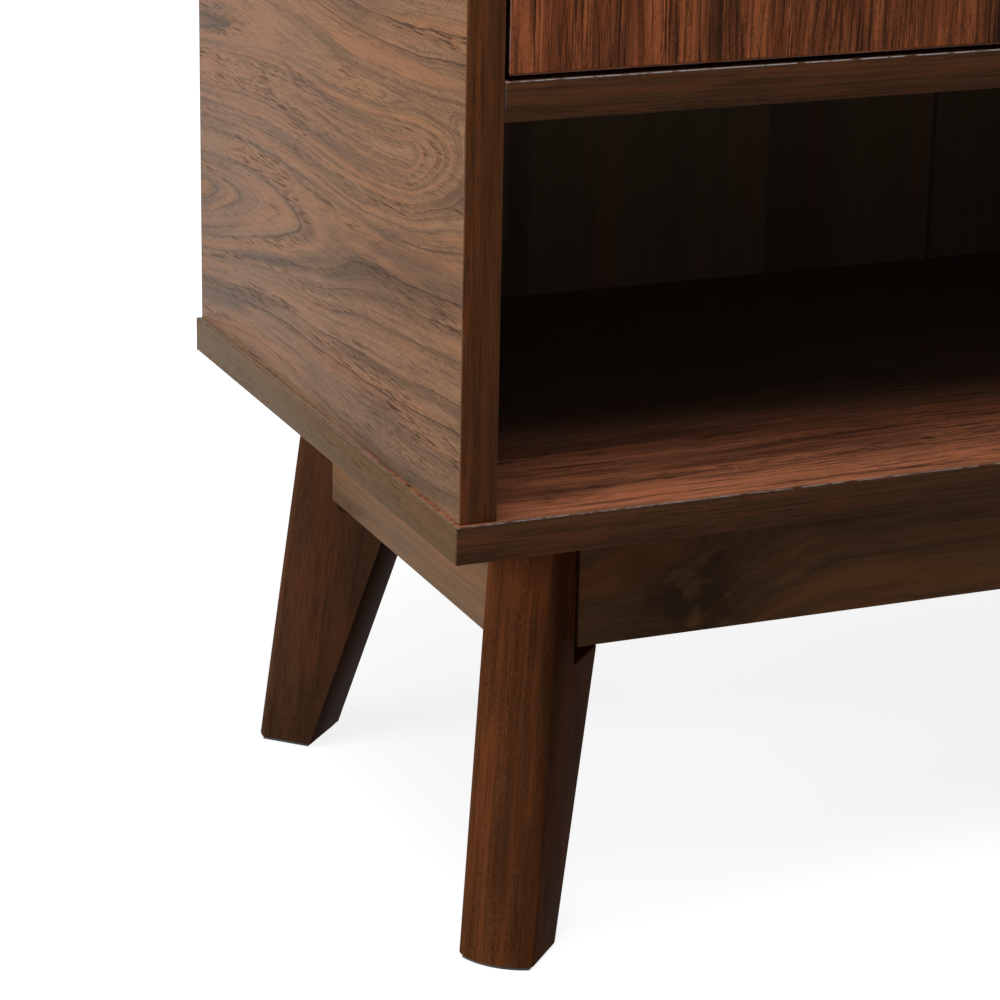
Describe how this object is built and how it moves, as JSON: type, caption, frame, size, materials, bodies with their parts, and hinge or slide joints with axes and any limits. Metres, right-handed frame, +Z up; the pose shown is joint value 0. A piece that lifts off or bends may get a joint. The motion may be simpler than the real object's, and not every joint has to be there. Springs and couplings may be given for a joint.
{
  "type": "nightstand with drawers",
  "caption": "Walnut-faced nightstand with inset drawers over an open compartment, on splayed corner legs set diagonally under a slim apron frame.",
  "frame": {"origin": "on the floor, midway between the sides and midway between the knobs' faces and the rear edge of the top", "axes": "+Z up, -Y out of the drawer fronts, +X to the right of someone facing the drawers"},
  "size_m": [0.5, 0.33, 0.6],
  "materials": {
    "faced_board": "satin walnut foil",
    "stained_wood": "satin stained hardwood",
    "raw_wood": "planed softwood",
    "drawer_board": "matt foil",
    "zinc": "zinc plated",
    "glide": "matt plastic"
  },
  "bodies": {
    "cabinet": {"top_panel": "faced_board", "base_panel": "faced_board", "left_side_panel": "faced_board", "right_side_panel": "faced_board", "drawer_shelf": "faced_board", "back_panel": "faced_board", "cam_front_left": "zinc", "cam_rear_left": "zinc", "cam_front_right": "zinc", "cam_rear_right": "zinc", "cam_pin_front_left": "zinc", "cam_pin_rear_left": "zinc", "cam_pin_front_right": "zinc", "cam_pin_rear_right": "zinc", "front_left_leg": "stained_wood", "front_right_leg": "stained_wood", "rear_left_leg": "stained_wood", "rear_right_leg": "stained_wood", "front_apron": "stained_wood", "rear_apron": "stained_wood", "left_apron": "stained_wood", "right_apron": "stained_wood", "foot_glide_front_left": "glide", "foot_glide_front_right": "glide", "foot_glide_rear_left": "glide", "foot_glide_rear_right": "glide", "corner_block_front_left": "raw_wood", "corner_block_front_right": "raw_wood", "corner_block_rear_left": "raw_wood", "corner_block_rear_right": "raw_wood", "leg_bolt_front_left": "zinc", "leg_bolt_front_right": "zinc", "leg_bolt_rear_left": "zinc", "leg_bolt_rear_right": "zinc", "lower_left_cabinet_runner": "zinc", "lower_right_cabinet_runner": "zinc", "upper_left_cabinet_runner": "zinc", "upper_right_cabinet_runner": "zinc"},
    "lower_drawer": {"lower_drawer_front": "faced_board", "lower_drawer_left_side": "drawer_board", "lower_drawer_right_side": "drawer_board", "lower_drawer_back": "drawer_board", "lower_drawer_bottom": "drawer_board", "lower_knob": "stained_wood", "lower_knob_screw": "zinc", "lower_left_drawer_runner": "zinc", "lower_right_drawer_runner": "zinc"},
    "lower_middle_runners": {"lower_left_middle_runner": "zinc", "lower_right_middle_runner": "zinc"},
    "upper_drawer": {"upper_drawer_front": "faced_board", "upper_drawer_left_side": "drawer_board", "upper_drawer_right_side": "drawer_board", "upper_drawer_back": "drawer_board", "upper_drawer_bottom": "drawer_board", "upper_knob": "stained_wood", "upper_knob_screw": "zinc", "upper_left_drawer_runner": "zinc", "upper_right_drawer_runner": "zinc"},
    "upper_middle_runners": {"upper_left_middle_runner": "zinc", "upper_right_middle_runner": "zinc"}
  },
  "joints": [
    {"name": "lower_drawer_slide", "type": "slide", "parent": "cabinet", "child": "lower_drawer", "axis": [0, -1, 0], "range_m": [0, 0.25]},
    {"name": "lower_runner_slide", "type": "slide", "parent": "cabinet", "child": "lower_middle_runners", "axis": [0, -1, 0], "range_m": [0, 0.125]},
    {"name": "upper_drawer_slide", "type": "slide", "parent": "cabinet", "child": "upper_drawer", "axis": [0, -1, 0], "range_m": [0, 0.25]},
    {"name": "upper_runner_slide", "type": "slide", "parent": "cabinet", "child": "upper_middle_runners", "axis": [0, -1, 0], "range_m": [0, 0.125]}
  ],
  "couplings": [
    {"joint": "lower_runner_slide", "follows": "lower_drawer_slide", "ratio": 0.5},
    {"joint": "upper_runner_slide", "follows": "upper_drawer_slide", "ratio": 0.5}
  ]
}
